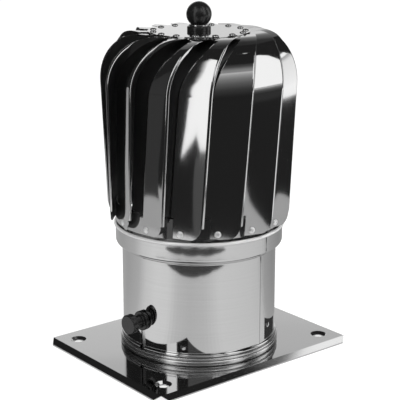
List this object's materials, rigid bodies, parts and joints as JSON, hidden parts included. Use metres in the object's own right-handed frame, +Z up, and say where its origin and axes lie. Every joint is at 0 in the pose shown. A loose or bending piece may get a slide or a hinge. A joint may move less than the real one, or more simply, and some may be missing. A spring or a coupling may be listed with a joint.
{
  "type": "spinning chimney cowl",
  "caption": "Spinning chimney cowl: a bladed wind turbine turns on an axle above a belled pipe, which is clamped by a thumb screw to a rectangular base plate.",
  "frame": {"origin": "centre of the plate's outline, on the turbine's axis, at the level of the plate's lips", "axes": "+Z up along the turbine's axis, X along the plate's long side, Y along its short side"},
  "size_m": [0.2406, 0.1886, 0.3388],
  "materials": {
    "polished_steel": "mirror-polished stainless sheet",
    "bright_steel": "turned or rolled bright steel",
    "black_plastic": "semi-gloss moulded"
  },
  "bodies": {
    "base": {"base_plate": "polished_steel", "base_collar": "polished_steel", "neck_pipe": "polished_steel", "weld_nut": "bright_steel", "upper_cross_bar": "bright_steel", "lower_cross_bar": "bright_steel", "axle": "bright_steel", "axle_nuts": "bright_steel", "cap_washer": "bright_steel", "ball_knob": "black_plastic"},
    "turbine": {"hub_tube": "bright_steel", "lower_bush": "black_plastic", "upper_bush": "black_plastic", "top_disc": "polished_steel", "lower_ring": "polished_steel", "blade_01": "polished_steel", "blade_02": "polished_steel", "blade_03": "polished_steel", "blade_04": "polished_steel", "blade_05": "polished_steel", "blade_06": "polished_steel", "blade_07": "polished_steel", "blade_08": "polished_steel", "blade_09": "polished_steel", "blade_10": "polished_steel", "blade_11": "polished_steel", "blade_12": "polished_steel", "blade_13": "polished_steel", "blade_14": "polished_steel", "blade_15": "polished_steel", "ring_rivets": "polished_steel", "disc_rivets": "polished_steel"},
    "thumb_screw": {"thumb_stud": "bright_steel", "thumb_knob": "black_plastic"}
  },
  "joints": [
    {"name": "turbine_spin", "type": "hinge", "parent": "base", "child": "turbine", "pos_m": [0, 0, 0], "axis": [0, 0, 1], "continuous": true},
    {"name": "thumb_screw_turn", "type": "hinge", "parent": "base", "child": "thumb_screw", "pos_m": [-0.07459, -0.00784, 0.0433], "axis": [-0.9945, -0.1045, 0], "range_deg": [0, 900]}
  ]
}
